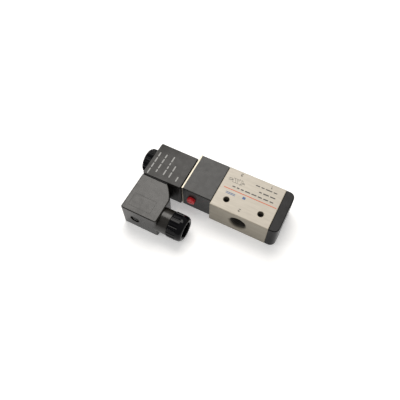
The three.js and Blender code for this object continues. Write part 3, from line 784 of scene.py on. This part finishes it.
def flow_symbol(target, x0, y0):
    """The standard symbol of a normally open, spring-returned 3/2 valve, read from the far side.

    The square beside the spring is the rest position and carries the ports: the supply is open to
    the outlet and the exhaust is closed. In the square beside the coil the outlet is open to the
    exhaust.
    """
    side = 3.6
    thin = 0.2
    stub = 0.9  # length of a port's leg, a closed port's stem and an arrow's head
    exhaust, supply = 0.9, 2.7  # columns within a square; the outlet is opposite the supply
    far = y0 + side
    rest = x0 + side
    end = rest + side

    def closed(x):
        target.bar((x, far), (x, far - stub), thin)
        target.bar((x - stub / 2, far - stub), (x + stub / 2, far - stub), thin)

    def arrow(tail, tip):
        tail, tip = Vector(tail), Vector(tip)
        along = (tip - tail).normalized()
        across = Vector((-along.y, along.x))
        back = tip - along * stub
        target.bar(tail, back, thin)
        target.polygon([tip, back + across * 0.32, back - across * 0.32])

    for x in (x0, rest):
        target.path([(x, y0), (x + side, y0), (x + side, far), (x, far), (x, y0)], thin)
    arrow((rest + supply, far), (rest + supply, y0))
    closed(rest + exhaust)
    arrow((x0 + supply, y0), (x0 + exhaust, far))
    closed(x0 + supply)
    for x in (rest + exhaust, rest + supply):
        target.bar((x, far), (x, far + stub), thin)
    target.bar((rest + supply, y0), (rest + supply, y0 - 0.8), thin)

    middle_line = y0 + side / 2
    spring = [(end + 0.45 * (i + 0.4), middle_line + (-0.7, 0.7)[i % 2]) for i in range(5)]
    target.path([(end, middle_line), *spring], thin)
    pilot_tip, pilot_base = x0 - 0.1, x0 - 1.1
    target.polygon([(pilot_tip, middle_line), (pilot_base, middle_line + 0.6),
                    (pilot_base, middle_line - 0.6)])
    coil_start, coil_end = x0 - 1.2, x0 - 3.1
    low, high = y0 + 0.8, far - 0.8
    target.path([(coil_start, low), (coil_end, low), (coil_end, high), (coil_start, high),
                 (coil_start, low)], thin)
    target.bar((coil_start - 0.4, low), (coil_end + 0.4, high), thin)


def body_printing():
    """The block's label: rows of text, the ports' numbers, the symbol, a rule and blue marks."""
    black = Print(sheet_top)
    line_of_blocks(black, (17.6, 12.0), (-1, 0), 31.6, 3)
    line_of_blocks(black, (17.6, 15.9), (-1, 0), 12.6, 5)
    line_of_blocks(black, (17.4, 20.2), (-1, 0), 16.6, 8, 0.85)
    for digit, at in ((1, (11.9, 23.4)), (3, (-11.4, 23.6)), (2, (-1.4, -4.0))):
        port_number(black, digit, at, 2.1)
    flow_symbol(black, -15.6, 15.3)
    black.finish("body_marks", "black_ink", "valve_block", "label_foil")
    orange = Print(sheet_top)
    orange.bar((-19.3, 9.0), (21.2, 9.0), 0.62)
    orange.finish("label_rule", "orange_ink", "valve_block", "label_foil")
    blue = Print(sheet_top)
    for y in (5.1, 6.1):
        blue.bar((-16.2, y), (-9.0, y), 0.5)
    blue.bar((-3.5, 6.3), (-1.3, 6.3), 2.0)
    blue.finish("label_blocks", "blue_ink", "valve_block", "label_foil")


def coil_printing():
    """The text on the coil's upper face, as columns of plain blocks."""
    white = Print(coil_high.z + 0.004 * MM)
    columns = ((-74.3, -6.0, 20.5), (-69.0, -2.6, 18.6), (-63.0, -2.5, 18.6),
               (-58.3, -2.6, 11.5), (-52.3, -3.4, 6.0))
    for n, (x, y, length) in enumerate(columns):
        line_of_blocks(white, (x, y), (0, 1), length, 20 + n)
    white.finish("coil_marks", "white_ink", "coil", "coil_resin")


label_sheet()
body_printing()
coil_printing()


# ---- Setting ----

def floor():
    """A plain pale floor, under the side face that the valve lies on."""
    bpy.ops.mesh.primitive_plane_add(size=6, location=(0, 0, -0.02 * MM))
    plane = bpy.context.object
    plane.name = "floor"
    look = Look("floor", (0.93, 0.93, 0.93), 0.9, Specular_IOR_Level=0.1, Emission_Strength=0.31,
                Emission_Color=(1, 1, 1, 1))
    look.tint(look.noise(6, 2), (0.99, 1.0))
    plane.data.materials.append(look.material)


def softbox(name, place, aim, size, power, color=(1, 1, 1)):
    light = bpy.data.lights.new(name, "AREA")
    light.shape = "RECTANGLE"
    light.size, light.size_y = size
    light.energy = power
    light.color = color
    obj = bpy.data.objects.new(name, light)
    bpy.context.scene.collection.objects.link(obj)
    obj.location = place
    obj.rotation_euler = (Vector(aim) - Vector(place)).to_track_quat("-Z", "Y").to_euler()


def surroundings(strength):
    world = bpy.data.worlds.new("studio")
    world.use_nodes = True
    background = world.node_tree.nodes["Background"]
    background.inputs["Color"].default_value = (1, 0.985, 0.96, 1)
    background.inputs["Strength"].default_value = strength
    bpy.context.scene.world = world


def camera():
    """The photograph's view: from the front right, well above the valve."""
    lens = bpy.data.cameras.new("camera")
    lens.lens = 38.61
    lens.sensor_width = 36
    lens.clip_start = 0.01
    obj = bpy.data.objects.new("camera", lens)
    bpy.context.scene.collection.objects.link(obj)
    place = Vector((38.99, -142.79, 284.46)) * MM
    target = Vector((-32.30, -3.34, 11.0)) * MM
    obj.location = place
    obj.rotation_euler = (target - place).to_track_quat("-Z", "Y").to_euler()
    bpy.context.scene.camera = obj


floor()
surroundings(0.42)
softbox("overhead", (-0.21, 0.35, 0.69), (-0.03, 0, 0), (0.55, 0.5), 4.7, (1, 0.97, 0.93))
softbox("left_fill", (-0.6, -0.35, 0.55), (-0.03, 0, 0), (0.4, 0.4), 0.9)
camera()
bpy.context.scene.view_settings.view_transform = "Standard"
